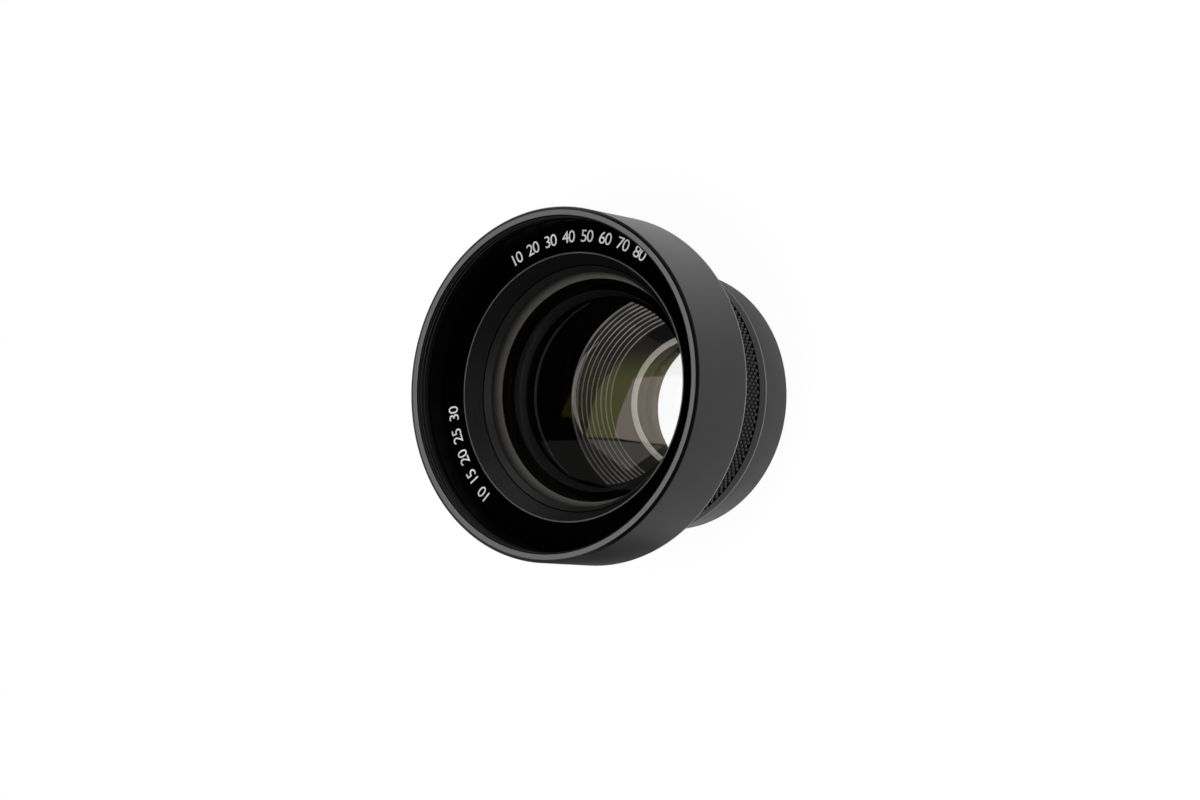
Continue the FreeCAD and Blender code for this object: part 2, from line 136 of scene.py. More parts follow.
# the cone's darkening towards its outer edge is painted shade
paleCone = {"inner": (0.13, 0.126, 0.112, 1), "outer": (0.008, 0.008, 0.0075, 1), "pale": 21.7, "dark": 23.5}
ground = {"tint": (1.0, 0.97, 0.9, 1), "matt": (0.8, 0.77, 0.72, 1)}
# the band that turnedFinish dims as painted shade ends between these distances from the middle, in m along Y
paintedShadeBand = (0.005, 0.012)


def anodisedFinish(name, look, zones=None):
    finish, place = newFinish(name)
    radius, height = roundTheAxis(place)
    grain = place.node("ShaderNodeTexNoise", {}, {"Vector": place, "Scale": look["grain"], "Detail": 3.0})
    cloud = place.node("ShaderNodeTexNoise", {}, {"Vector": place, "Scale": 60.0, "Detail": 2.0})
    colour = mixColours(cloud.between(0.35, 0.75), look["colour"], look["worn"])
    # painted highlight: the front face of the rim is painted paler where it would catch light
    if zones:
        paintedRimHighlight = height.between(zones["rimTop"], zones["rimTop"] + 0.04)
        paintedRimHighlight = paintedRimHighlight * radius.between(zones["rimRadius"] + 0.08, zones["rimRadius"])
        colour = mixColours(paintedRimHighlight, colour, zones["rim"])
    rough = look["roughness"] + (grain - 0.5) * 0.12 + (cloud - 0.5) * 0.06
    bump = place.node("ShaderNodeBump", {}, {"Strength": 0.5, "Distance": look["grainHeight"], "Height": grain})
    shader = place.node("ShaderNodeBsdfPrincipled", {}, {"Base Color": colour, "Roughness": rough, "Normal": bump})
    if zones:
        paintAndCornerShade = radius.between(zones["paintRadius"] + 0.05, zones["paintRadius"])
        paintAndCornerShade = paintAndCornerShade * height.between(zones["paintTop"] + 0.1, zones["paintTop"])
        corner = radius.between(zones["rimRadius"], zones["rimRadius"] + 0.06)
        corner = corner * height.between(zones["cornerFoot"] - 0.05, zones["cornerFoot"])
        # painted shade: the rounded corner of the rim is painted black on the side that faces right
        corner = corner * place.part("X").between(*zones["cornerSide"])
        paintAndCornerShade = paintAndCornerShade.maths("MAXIMUM", corner)
        # painted highlight: the crests of the first turns of thread, near the mouth, are painted paler
        crest = height.between(*zones["crestHeights"]) * radius.between(*zones["crestRadii"])
        shade = mixColours(crest, zones["paint"], zones["crest"])
        paint = place.node("ShaderNodeBsdfPrincipled", {},
                           {"Base Color": shade, "Roughness": 0.5, "Specular IOR Level": 0.1, "Normal": bump})
        shader = place.node("ShaderNodeMixShader", {}, {0: paintAndCornerShade, 1: shader, 2: paint})
    return closeFinish(finish, shader)


def knurlFinish(name, look):
    # the valleys of the knurl are painted dark and without sheen as painted shade, and its tips are painted paler as a
    # painted highlight
    finish, place = newFinish(name)
    radius = roundTheAxis(place)[0]
    grain = place.node("ShaderNodeTexNoise", {}, {"Vector": place, "Scale": 2500.0, "Detail": 3.0})
    paintedTipHighlight = radius.between(look["low"], look["high"])
    dark = place.node("ShaderNodeBsdfDiffuse", {}, {"Color": look["valley"]})
    shine = 0.34 + (grain - 0.5) * 0.1
    pale = place.node("ShaderNodeBsdfPrincipled", {}, {"Base Color": look["tip"], "Roughness": shine})
    return closeFinish(finish, place.node("ShaderNodeMixShader", {}, {0: paintedTipHighlight, 1: dark, 2: pale}))


def coneFinish(name, look):
    # a pale cone, painted darker towards its outer edge as painted shade
    finish, place = newFinish(name)
    radius = roundTheAxis(place)[0]
    grain = place.node("ShaderNodeTexNoise", {}, {"Vector": place, "Scale": 900.0, "Detail": 3.0})
    level = radius.between(look["dark"], look["pale"]) + (grain - 0.5) * 0.1
    colour = mixColours(level, look["outer"], look["inner"])
    shader = place.node("ShaderNodeBsdfPrincipled", {},
                        {"Base Color": colour, "Roughness": 0.5 + (grain - 0.5) * 0.2, "Specular IOR Level": 0.3})
    return closeFinish(finish, shader)


def turnedFinish(name, colour, roughness, pitch, depth, level=0.5, specular=0.5, middle=1.0):
    # fine rings left by the lathe tool, pitch in mm and depth in m; middle dims a band across the part as painted
    # shade
    finish, place = newFinish(name)
    radius, height = roundTheAxis(place)
    wander = place.node("ShaderNodeTexNoise", {}, {"Vector": place, "Scale": 300.0, "Detail": 2.0})
    rings = ((radius + height) * (fullTurn / pitch) + wander * 1.5).maths("SINE")
    shade = mixColours(wander.between(0.3, 0.7), scaled(colour, 0.85), scaled(colour, 1.15))
    # painted shade: a band across the middle of the part is darker
    if middle < 1:
        across = place.part("Y").maths("ABSOLUTE").between(*paintedShadeBand)
        shade = mixColours(across, scaled(colour, middle), shade)
    rough = roughness + (wander - 0.5) * 0.15
    bump = place.node("ShaderNodeBump", {}, {"Strength": level, "Distance": depth, "Height": rings * 0.5 + 0.5})
    shader = place.node("ShaderNodeBsdfPrincipled", {},
                        {"Base Color": shade, "Roughness": rough, "Normal": bump, "Specular IOR Level": specular})
    return closeFinish(finish, shader)


def glassFinish(name, look):
    finish, place = newFinish(name)
    haze = place.node("ShaderNodeTexNoise", {}, {"Vector": place, "Scale": 90.0, "Detail": 2.0})
    tint = mixColours(haze.between(0.3, 0.7), scaled(look["tint"], 1), scaled(look["tint"], 0.995))
    glass = place.node("ShaderNodeBsdfPrincipled", {},
                       {"Base Color": tint, "Roughness": 0.0, "IOR": look["ior"], "Transmission Weight": 1.0,
                        "Thin Film Thickness": look["film"], "Thin Film IOR": look["filmIor"]})
    clear = place.node("ShaderNodeBsdfTransparent", {}, {"Color": (*look["tint"], 1)})
    shadow = place.node("ShaderNodeLightPath", out="Is Shadow Ray")
    mixed = place.node("ShaderNodeMixShader", {}, {0: shadow, 1: glass, 2: clear})
    return closeFinish(finish, mixed)


def groundFinish(name, look):
    # the ground edge of a lens, lit from behind through the glass
    finish, place = newFinish(name)
    haze = place.node("ShaderNodeTexNoise", {}, {"Vector": place, "Scale": 400.0, "Detail": 2.0})
    matt = place.node("ShaderNodeBsdfDiffuse", {}, {"Color": look["matt"], "Roughness": 1.0})
    through = place.node("ShaderNodeBsdfTranslucent", {}, {"Color": look["tint"]})
    mixed = place.node("ShaderNodeMixShader", {}, {0: haze.between(0.2, 0.8, 0.65, 0.75), 1: matt, 2: through})
    return closeFinish(finish, mixed)


def brassFinish(name):
    finish, place = newFinish(name)
    grain = place.node("ShaderNodeTexNoise", {}, {"Vector": place, "Scale": 900.0, "Detail": 3.0})
    colour = mixColours(grain, (0.58, 0.43, 0.17, 1), (0.68, 0.52, 0.24, 1))
    shader = place.node("ShaderNodeBsdfPrincipled", {},
                        {"Base Color": colour, "Metallic": 1.0, "Roughness": 0.25 + grain * 0.15})
    return closeFinish(finish, shader)


glassLooks = {
    "frontCoated": {"tint": (1.0, 0.985, 0.965), "ior": 1.60, "film": 72.0, "filmIor": 2.0},
    "frontGlass": {"tint": (0.995, 0.99, 0.985), "ior": 1.60, "film": 110.0, "filmIor": 1.38},
    "pairGlass": {"tint": (0.995, 0.992, 0.985), "ior": 1.62, "film": 110.0, "filmIor": 1.38},
    "rearGlass": {"tint": (0.995, 0.99, 0.99), "ior": 1.62, "film": 110.0, "filmIor": 1.38},
}

finishes = {
    "shellBlack": anodisedFinish("shellBlack", anodised, shellZones),
    "rearBlack": anodisedFinish("rearBlack", rearAnodised),
    "knurlBlack": knurlFinish("knurlBlack", knurl),
    "edgePale": anodisedFinish("edgePale", paleEdge),
    "printWhite": turnedFinish("printWhite", (0.45, 0.45, 0.45), 0.6, 0.2, 0.000001, 0.2, 0.3),
    "nameRingBlack": turnedFinish("nameRingBlack", (0.0002, 0.0002, 0.0002), 0.8, 0.05, 0.000004, 0.3, 0.02),
    "baffleBlack": turnedFinish("baffleBlack", (0.0018, 0.0018, 0.0018), 0.55, 0.09, 0.00001, 0.5, 0.25),
    # the lip's paler grey is a painted highlight
    "lipPaintedHighlight": turnedFinish("lipPaintedHighlight", (0.05, 0.05, 0.05), 0.4, 0.06, 0.000004),
    "ringBlack": turnedFinish("ringBlack", (0.0055, 0.0055, 0.0056), 0.5, 0.06, 0.000005, 0.5, 0.25),
    "cellBlack": turnedFinish("cellBlack", (0.008, 0.008, 0.008), 0.6, 0.1, 0.00001),
    "conePale": coneFinish("conePale", paleCone),
    "faceBlack": turnedFinish("faceBlack", (0.0002, 0.0002, 0.0002), 0.8, 0.1, 0.000004, 0.3, 0.02),
    "trapBlack": turnedFinish("trapBlack", (0.045, 0.0435, 0.042), 0.5, 0.15, 0.000004, 0.3, 0.2),
    "screwBlack": turnedFinish("screwBlack", (0.03, 0.03, 0.032), 0.35, 0.05, 0.000004),
    "shimBrass": brassFinish("shimBrass"),
    # the light grey of the rib crests is a painted highlight
    "crestPaintedLight": turnedFinish("crestPaintedLight", (0.50, 0.475, 0.455), 0.45, 0.2, 0.000002, 0.3, middle=0.4),
    "edgeBlack": turnedFinish("edgeBlack", (0.0004, 0.0004, 0.0004), 0.9, 0.2, 0.000001, 0.2, 0.02),
    "edgeGrey": turnedFinish("edgeGrey", (0.09, 0.085, 0.07), 0.6, 0.2, 0.000002, 0.3, 0.2),
    "groundGlass": groundFinish("groundGlass", ground),
}
for glassName, glassLook in glassLooks.items():
    finishes[glassName] = glassFinish(glassName, glassLook)
print("finishes made:", len(finishes))


# Turned pieces

def softened(corners, soft=0.06, steps=4):
    # a closed outline of (radius, height) corners in mm, each with its own rounding as an optional third number
    outline = []
    count = len(corners)
    for i, corner in enumerate(corners):
        here = Vector(corner[:2])
        back = Vector(corners[i - 1][:2]) - here
        ahead = Vector(corners[(i + 1) % count][:2]) - here
        bend = back.angle(ahead)
        size = corner[2] if len(corner) > 2 else soft
        reach = size / math.tan(bend / 2) if bend < math.radians(176) else 0
        reach = min(reach, back.length * 0.45, ahead.length * 0.45)
        if reach < 0.002:
            outline.append(here)
            continue
        first, last = here + back.normalized() * reach, here + ahead.normalized() * reach
        middle = here + (back.normalized() + ahead.normalized()).normalized() * (reach / math.cos(bend / 2))
        radius = (first - middle).length
        for k in range(steps + 1):
            way = first.lerp(last, k / steps) - middle
            outline.append(middle + way.normalized() * radius)
    return outline


def arcPoints(sphere, vertex, inner, outer, steps):
    # points on a lens face from one radius to another; a negative sphere is hollow towards the front
    side = 1 if sphere > 0 else -1
    radii = [inner + (outer - inner) * k / steps for k in range(steps + 1)]
    return [Vector((r, vertex - side * (abs(sphere) - math.sqrt(sphere * sphere - r * r)))) for r in radii]


def spun(name, outline, finish, steps=256, wave=None, crisp=34):
    # spins a closed outline in mm about the lens axis. wave(radius, height, turn) may move a point outwards, as a
    # thread does; where the outline bends by more than crisp degrees the edge is sharp.
    area = sum(a.x * b.y - b.x * a.y for a, b in zip(outline, outline[1:] + outline[:1]))
    if area < 0:
        outline = outline[::-1]
    count = len(outline)
    onAxis = [abs(p.x) < 1e-6 for p in outline]
    vertices = []
    first = []
    for i, p in enumerate(outline):
        first.append(len(vertices))
        if onAxis[i]:
            vertices.append((0, 0, p.y * mm))
            continue
        for j in range(steps):
            turn = j / steps
            radius = p.x + (wave(p.x, p.y, turn) if wave else 0)
            angle = fullTurn * turn
            vertices.append((radius * mm * math.cos(angle), radius * mm * math.sin(angle), p.y * mm))
    slope = []
    for i in range(count):
        run = outline[(i + 1) % count] - outline[i]
        slope.append((Vector((run.y, -run.x)).normalized() if run.length else Vector((1, 0)), run.length))
    before, after = [], []
    for i in range(count):
        (n0, l0), (n1, l1) = slope[i - 1], slope[i]
        if n0.angle(n1, 0) > math.radians(crisp):
            before.append(n0)
            after.append(n1)
        else:
            both = (n0 * l0 + n1 * l1).normalized()
            before.append(both)
            after.append(both)
    faces, normals = [], []
    for i in range(count):
        k = (i + 1) % count
        if onAxis[i] and onAxis[k]:
            continue
        for j in range(steps):
            jj = (j + 1) % steps
            a, b = first[i] + (0 if onAxis[i] else j), first[i] + (0 if onAxis[i] else jj)
            c, d = first[k] + (0 if onAxis[k] else jj), first[k] + (0 if onAxis[k] else j)
            ring = [(a, j, after[i], onAxis[i]), (b, j + 1, after[i], onAxis[i]),
                    (c, j + 1, before[k], onAxis[k]), (d, j, before[k], onAxis[k])]
            if onAxis[i]:
                ring = [ring[0], ring[2], ring[3]]
            elif onAxis[k]:
                ring = [ring[0], ring[1], ring[2]]
            faces.append([r[0] for r in ring])
            for vertex, column, n, pole in ring:
                angle = fullTurn * (column + (0.5 if pole else 0)) / steps
                normals.append((n.x * math.cos(angle), n.x * math.sin(angle), n.y))
    mesh = bpy.data.meshes.new(name)
    mesh.from_pydata(vertices, [], faces)
    mesh.polygons.foreach_set("use_smooth", [True] * len(faces))
    if not wave:
        mesh.normals_split_custom_set(normals)
    piece = bpy.data.objects.new(name, mesh)
    bpy.context.scene.collection.objects.link(piece)
    mesh.materials.append(finishes[finish])
    mesh.update()
    return piece


def axisDistance(face):
    return math.hypot(*face.center[:2])


def dressed(piece, finish, chosen):
    # gives the chosen faces of a piece another finish
    piece.data.materials.append(finishes[finish])
    last = len(piece.data.materials) - 1
    for face in piece.data.polygons:
        if chosen(face):
            face.material_index = last
    return piece


def placed(piece, slot, *nodes):
    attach(piece, "root")
    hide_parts(*nodes)
    return piece


def stepsOf(top, bottom, pitch, rows):
    # heights of the rings of points that a thread is cut in, from the top down, so many to each turn
    count = int(round((top - bottom) / pitch * rows))
    return [top - (top - bottom) * k / count for k in range(count + 1)]


# the share of the pitch over which a thread runs out, the slope of its flanks and the width of its flat crest
threadForm = {"runOut": 0.4, "flank": 1.25, "flat": 0.12, "rows": 10}


def threadWave(top, bottom, pitch, depth, bore):
    # a helical V groove between two heights, running out at both ends
    runOut = threadForm["runOut"] * pitch

    def wave(radius, height, turn):
        if abs(radius - bore) > 0.02 or not bottom - 1e-6 <= height <= top + 1e-6:
            return 0
        lead = ((height - bottom) / pitch + turn) % 1
        groove = (1 - abs(2 * lead - 1)) * threadForm["flank"] - threadForm["flat"]
        fade = min(1, (top - height) / runOut, (height - bottom) / runOut)
        return depth * max(0, min(1, groove)) * max(0, fade)
    return wave


# edge is the width of the paler strip beside the outer edge of each shell
frontShell = {"radius": 35.1, "flare": 0.35, "rim": 46.0, "rimRound": 0.55, "mouth": 33.5, "bore": 33.1,
              "threadTop": 45.6, "threadEnd": 42.3, "pitch": 1.0, "threadDepth": 0.36, "relief": 33.6,
              "reliefEnd": 41.6, "ledge": 35.2, "seatBore": 28.2, "seatEnd": 32.8, "hollow": 32.2, "coneFoot": 23.2,
              "tubeBore": 25.95, "collar": 21.0, "neck": 28.3, "neckTop": 22.4, "shoulder": 29.0,
              "shoulderBevel": 0.3, "edge": 0.28}


def makeFrontShell(s):
    thread = [(s["bore"], z, 0) for z in stepsOf(s["threadTop"], s["threadEnd"], s["pitch"], threadForm["rows"])]
    shoulder, bevelTop = s["radius"] + s["flare"], s["shoulder"] + s["shoulderBevel"]
    corners = [
        (s["radius"], s["rim"], s["rimRound"]),
        (s["mouth"], s["rim"], 0.05),
        *thread,
        (s["relief"], s["threadEnd"], 0.04),
        (s["relief"], s["reliefEnd"], 0.04),
        (s["bore"], s["reliefEnd"], 0.04),
        (s["bore"], s["ledge"]),
        (s["seatBore"], s["ledge"]),
        (s["seatBore"], s["seatEnd"]),
        (s["hollow"], s["seatEnd"] - 1),
        (s["hollow"], s["coneFoot"] + s["hollow"] - s["tubeBore"]),
        (s["tubeBore"], s["coneFoot"]),
        (s["tubeBore"], s["collar"]),
        (s["neck"], s["collar"], 0.15),
        (s["neck"], s["neckTop"], 0.4),
        (shoulder - s["shoulderBevel"], s["shoulder"], 0.05),
        (shoulder, bevelTop, 0.05),
        (shoulder - 0.005, bevelTop + s["edge"], 0),
    ]
    wave = threadWave(s["threadTop"], s["threadEnd"], s["pitch"], s["threadDepth"], s["bore"])
    piece = spun("front_shell_turned", softened(corners), "shellBlack", 320, wave)
    return dressed(piece, "edgePale", lambda face: face.center.z < (bevelTop + s["edge"]) * mm and
                   axisDistance(face) > (s["radius"] + 0.1) * mm)


placed(makeFrontShell(frontShell), "anodised_shell", "front_shell")


rearShell = {"bore": 24.1, "bevel": 0.35, "face": 27.4, "faceRound": 0.45, "ridge": 28.85, "ridgeHeight": 10.8,
             "lead": 28.45, "grooveFoot": 12.75, "groove": 27.55, "top": 13.1, "tubeBore": 25.1, "tubeFoot": 4.2,
             "reliefTop": 2.9, "relief": 24.6, "threadTop": 2.2, "pitch": 0.75, "threadDepth": 0.36, "edge": 0.14}


def makeRearShell(s):
    thread = [(s["bore"], z, 0) for z in stepsOf(s["threadTop"], s["bevel"], s["pitch"], threadForm["rows"])]
    corners = [
        *thread,
        (s["bore"] + s["bevel"], 0, 0.04),
        (s["face"], 0, s["faceRound"]),
        (s["ridge"] - 0.02, s["ridgeHeight"] - s["edge"], 0),
        (s["ridge"], s["ridgeHeight"], 0.03),
        (s["ridge"] - 0.03, s["ridgeHeight"] + s["edge"], 0),
        (s["lead"], s["grooveFoot"], 0.05),
        (s["groove"], s["grooveFoot"], 0.03),
        (s["groove"], s["top"], 0.03),
        (s["tubeBore"], s["top"]),
        (s["tubeBore"], s["tubeFoot"]),
        (s["bore"], s["tubeFoot"]),
        (s["bore"], s["reliefTop"], 0.03),
        (s["relief"], s["reliefTop"], 0.03),
        (s["relief"], s["threadTop"], 0.03),
    ]
    wave = threadWave(s["threadTop"], s["bevel"], s["pitch"], s["threadDepth"], s["bore"])
    piece = spun("rear_shell_turned", softened(corners), "rearBlack", 320, wave)
    piece = dressed(piece, "faceBlack", lambda face: face.center.z > (s["grooveFoot"] - 0.06) * mm and
                    axisDistance(face) < s["lead"] * mm)
    return dressed(piece, "edgePale", lambda face: abs(face.center.z - s["ridgeHeight"] * mm) < s["edge"] * mm)


placed(makeRearShell(rearShell), "anodised_shell", "rear_shell")
print("shells turned")


# Knurled grip: a ring with diamond studs set on it in staggered rows

grip = {"bore": 25.95, "root": 27.86, "bottom": 13.1, "top": 20.85, "cells": 120, "rows": 11, "rowHeight": 0.775,
        "tip": 28.5, "crest": 0.16}


def knurlTree():
    tree = bpy.data.node_groups.new("diamondKnurl", "GeometryNodeTree")
    face = tree.interface
    face.new_socket("Geometry", in_out="INPUT", socket_type="NodeSocketGeometry")
    for kind, names in (("NodeSocketInt", ("Cells", "Rows")),
                        ("NodeSocketFloat", ("Row Height", "First Row", "Root Radius", "Stud Depth", "Crest")),
                        ("NodeSocketMaterial", ("Finish",))):
        for name in names:
            face.new_socket(name, in_out="INPUT", socket_type=kind)
    face.new_socket("Geometry", in_out="OUTPUT", socket_type="NodeSocketGeometry")

    def add(kind, settings=None, inputs=None, out=0):
        made = tree.nodes.new(kind)
        for key, value in (settings or {}).items():
            setattr(made, key, value)
        for key, value in (inputs or {}).items():
            if isinstance(value, bpy.types.NodeSocket):
                tree.links.new(value, made.inputs[key])
            else:
                made.inputs[key].default_value = value
        return made.outputs[out]

    def maths(operation, a, b=0.0):
        return add("ShaderNodeMath", {"operation": operation}, {0: a, 1: b})

    given = tree.nodes.new("NodeGroupInput").outputs
    cells, rows = given["Cells"], given["Rows"]
    index = add("GeometryNodeInputIndex")
    row = maths("FLOOR", maths("DIVIDE", index, cells))
    column = maths("MODULO", index, cells)
    stagger = maths("MULTIPLY", maths("MODULO", maths("ADD", row, 1), 2), 0.5)
    angle = maths("DIVIDE", maths("MULTIPLY", maths("ADD", column, stagger), fullTurn), cells)
    height = maths("ADD", given["First Row"], maths("MULTIPLY", row, given["Row Height"]))
    root = given["Root Radius"]
    spot = add("ShaderNodeCombineXYZ", {}, {0: maths("MULTIPLY", root, maths("COSINE", angle)),
                                            1: maths("MULTIPLY", root, maths("SINE", angle)), 2: height})
    points = add("GeometryNodePoints", {}, {"Count": maths("MULTIPLY", cells, rows), "Position": spot})
    # one stud is a four-sided cone laid on its side: long way up, short way round
    stud = add("GeometryNodeMeshCone", {"fill_type": "NGON"},
               {"Vertices": 4, "Radius Top": given["Crest"], "Radius Bottom": 1.0, "Depth": given["Stud Depth"]})
    halfWide = maths("DIVIDE", maths("MULTIPLY", root, math.pi), cells)
    size = add("ShaderNodeCombineXYZ", {}, {0: given["Row Height"], 1: halfWide, 2: 1.0})
    stud = add("GeometryNodeTransform", {}, {"Geometry": stud, "Scale": size})
    stud = add("GeometryNodeTransform", {}, {"Geometry": stud, "Rotation": Euler((0, math.pi / 2, 0))})
    facing = add("ShaderNodeCombineXYZ", {}, {2: angle})
    studs = add("GeometryNodeInstanceOnPoints", {}, {"Points": points, "Instance": stud, "Rotation": facing})
    joined = add("GeometryNodeJoinGeometry", {}, {0: studs})
    tree.links.new(given["Geometry"], joined.node.inputs[0])
    solid = add("GeometryNodeRealizeInstances", {}, {0: joined})
    finished = add("GeometryNodeSetMaterial", {}, {"Geometry": solid, "Material": given["Finish"]})
    tree.links.new(finished, tree.nodes.new("NodeGroupOutput").inputs[0])
    return tree


def applyTree(piece, tree, values):
    # sets a modifier's inputs by identifier, then keeps its result as a plain mesh
    modifier = piece.modifiers.new(tree.name, "NODES")
    modifier.node_group = tree
    for item in tree.interface.items_tree:
        if item.in_out == "INPUT" and item.name in values:
            modifier[item.identifier] = values[item.name]
    bpy.context.view_layer.update()
    seen = piece.evaluated_get(bpy.context.evaluated_depsgraph_get())
    mesh = bpy.data.meshes.new_from_object(seen)
    piece.modifiers.clear()
    piece.data = mesh
    return piece


def makeGrip(s):
    ring = [(s["root"], s["bottom"], 0.08), (s["root"], s["top"], 0.08), (s["bore"], s["top"]),
            (s["bore"], s["bottom"])]
    piece = spun("grip_ring_knurled", softened(ring), "knurlBlack", 240)
    piece = applyTree(piece, knurlTree(), {
        "Cells": s["cells"], "Rows": s["rows"], "Row Height": s["rowHeight"] * mm, "Crest": s["crest"],
        "First Row": s["bottom"] * mm, "Root Radius": s["root"] * mm,
        "Stud Depth": (s["tip"] - s["root"]) * mm, "Finish": finishes["knurlBlack"]})
    # the studs of the first and last row are cut off flush with the ring's ends
    for vertex in piece.data.vertices:
        vertex.co.z = min(max(vertex.co.z, s["bottom"] * mm), s["top"] * mm)
    return piece


placed(makeGrip(grip), "knurled_grip", "grip_ring")
print("grip knurled")


# Rings seen in the front recess

nameRing = {"outer": 33.0, "inner": 27.05, "face": 38.05, "foot": 37.0}
baffle = {"outer": 27.0, "lip": 26.7, "top": 38.6, "mouth": 24.9, "foot": 34.85, "grooves": 14, "depth": 0.12}
frontRing = {"outer": 25.45, "top": 34.85, "topInner": 24.7, "lip": 23.75, "foot": 33.35}
cone = {"outer": 24.2, "top": 30.95, "mouth": 23.4, "foot": 29.0, "throat": 21.7}
pairRing = {"outer": 21.65, "top": 29.0, "throat": 19.25, "throatTop": 27.25, "mouth": 17.9, "foot": 24.6}


def makeNameRing(s):
    corners = [(s["outer"], s["foot"]), (s["outer"], s["face"], 0.1), (s["inner"], s["face"], 0.03),
               (s["inner"], s["foot"])]
    return spun("name_ring_turned", softened(corners), "nameRingBlack")


def makeBaffle(s):
    drop = (s["top"] - s["foot"]) / (s["grooves"] + 0.5)
    shrink = (s["lip"] - s["mouth"]) / (s["grooves"] + 0.5)
    corners = [(s["outer"], s["foot"]), (s["outer"], s["top"], 0.03), (s["lip"], s["top"], 0.03)]
    for groove in range(s["grooves"]):
        crest = (s["lip"] - groove * shrink, s["top"] - groove * drop)
        if groove:
            corners.append((*crest, 0.01))
        corners.append((crest[0] - shrink / 2 + s["depth"], crest[1] - drop / 2, 0.01))
    corners += [(s["lip"] - s["grooves"] * shrink, s["top"] - s["grooves"] * drop, 0.01), (s["mouth"], s["foot"])]
    piece = spun("front_baffle_grooved", softened(corners, steps=2), "baffleBlack")
    # painted highlight: the top face of the lip is painted paler
    return dressed(piece, "lipPaintedHighlight", lambda face: face.center.z > (s["top"] - 0.03) * mm)


def makeFrontRing(s):
    corners = [(s["outer"], s["foot"]), (s["outer"], s["top"]), (s["topInner"], s["top"], 0.05),
               (s["lip"], s["foot"] + 0.15, 0.03), (s["lip"], s["foot"], 0)]
    piece = spun("front_retaining_ring_turned", softened(corners), "ringBlack")
    return dressed(piece, "faceBlack", lambda face: axisDistance(face) > (s["topInner"] - 0.06) * mm)


def makeCone(s):
    corners = [(s["outer"], s["foot"]), (s["outer"], s["top"]), (s["mouth"], s["top"]), (s["throat"], s["foot"])]
    return spun("front_spacer_cone", softened(corners, 0.02), "conePale")


def makePairRing(s):
    corners = [(s["outer"], s["foot"]), (s["outer"], s["top"], 0.02), (s["throat"], s["throatTop"], 0.06),
               (s["mouth"], s["foot"], 0)]
    piece = spun("doublet_ring_turned", softened(corners), "ringBlack")
    return dressed(piece, "faceBlack", lambda face: face.normal.z > 0.6)


# plain numerals printed on the name ring, each row read clockwise between two turns in degrees; the rest is in mm
numerals = {"rows": (("10 20 30 40 50 60 70 80", 118.5, 55.5), ("10 15 20 25 30", 225.0, 186.0)),
            "height": 2.5, "sizePerHeight": 1.4, "radius": 29.1, "thick": 0.015}


def makeNumerals(s):
    vertices, faces = [], []
    lift = Matrix.Translation((0, s["radius"] * mm, nameRing["face"] * mm))
    for text, first, last in s["rows"]:
        for place, letter in enumerate(text):
            if letter == " ":
                continue
            curve = bpy.data.curves.new("numeral", "FONT")
            curve.body = letter
            curve.align_x = "CENTER"
            curve.size = s["height"] * s["sizePerHeight"] * mm
            curve.extrude = s["thick"] * mm
            curve.resolution_u = 4
            shape = bpy.data.objects.new("numeral", curve)
            mesh = bpy.data.meshes.new_from_object(shape)
            angle = math.radians(first + (last - first) * place / (len(text) - 1))
            spot = Matrix.Rotation(angle - math.pi / 2, 4, "Z") @ lift
            start = len(vertices)
            vertices += [tuple(spot @ v.co) for v in mesh.vertices]
            faces += [[start + i for i in face.vertices] for face in mesh.polygons]
            bpy.data.objects.remove(shape)
            bpy.data.meshes.remove(mesh)
            bpy.data.curves.remove(curve)
    mesh = bpy.data.meshes.new("ring_numerals")
    mesh.from_pydata(vertices, [], faces)
    mesh.materials.append(finishes["printWhite"])
    piece = bpy.data.objects.new("ring_numerals", mesh)
    bpy.context.scene.collection.objects.link(piece)
    return piece


placed(makeNameRing(nameRing), "name_ring_black", "name_ring")
placed(makeNumerals(numerals), "name_ring_black", "name_ring")
placed(makeBaffle(baffle), "baffle_black", "front_baffle_ring")
placed(makeFrontRing(frontRing), "ring_black", "front_retaining_ring")
placed(makeCone(cone), "spacer_black", "front_spacer")
placed(makePairRing(pairRing), "ring_black", "doublet_retaining_ring")
print("front rings turned")


# Lenses

frontLens = {"radius": 24.2, "bevel": 23.7, "top": 33.35, "foot": 30.95, "frontSphere": 62.0, "rearSphere": 200.0,
             "land": 23.4}
pairLens = {"radius": 18.8, "bevel": 17.8, "top": 24.6, "foot": 18.591, "frontSphere": 100.0, "rearSphere": 200.0,
            "land": 17.5}
rearLens = {"radius": 11.6, "top": 5.5, "foot": 3.4, "sphere": 92.0, "land": 9.85}
# mm kept between the glass and what holds it, so that no two faces share a plane
touch = 0.01


def sag(sphere, radius):
    return sphere - math.sqrt(sphere * sphere - radius * radius)


def rim(s):
    return [Vector((s["radius"] - touch, s["top"] - touch)), Vector((s["radius"] - touch, s["foot"] + touch))]


def makeFrontLens(s):
    front = arcPoints(s["frontSphere"], s["top"] + sag(s["frontSphere"], s["bevel"]), 0, s["bevel"], 40)
    rear = arcPoints(s["rearSphere"], s["foot"] + sag(s["rearSphere"], s["land"]), 0, s["land"], 24)
    lens = spun("front_lens_polished", front + rim(s) + rear[::-1], "frontGlass", 192, crisp=8)
    lens = dressed(lens, "frontCoated", lambda face: face.normal.z > 0.5)
    return dressed(lens, "edgeBlack", lambda face: axisDistance(face) > (s["radius"] - 0.2) * mm)


def makePairLens(s):
    front = arcPoints(s["frontSphere"], s["top"] + sag(s["frontSphere"], s["bevel"]), 0, s["bevel"], 30)
    rear = arcPoints(s["rearSphere"], s["foot"] + sag(s["rearSphere"], s["land"]), 0, s["land"], 24)
    pair = spun("cemented_pair_polished", front + rim(s) + rear[::-1], "pairGlass", 192, crisp=8)
    return dressed(pair, "edgeBlack", lambda face: axisDistance(face) > s["land"] * mm)


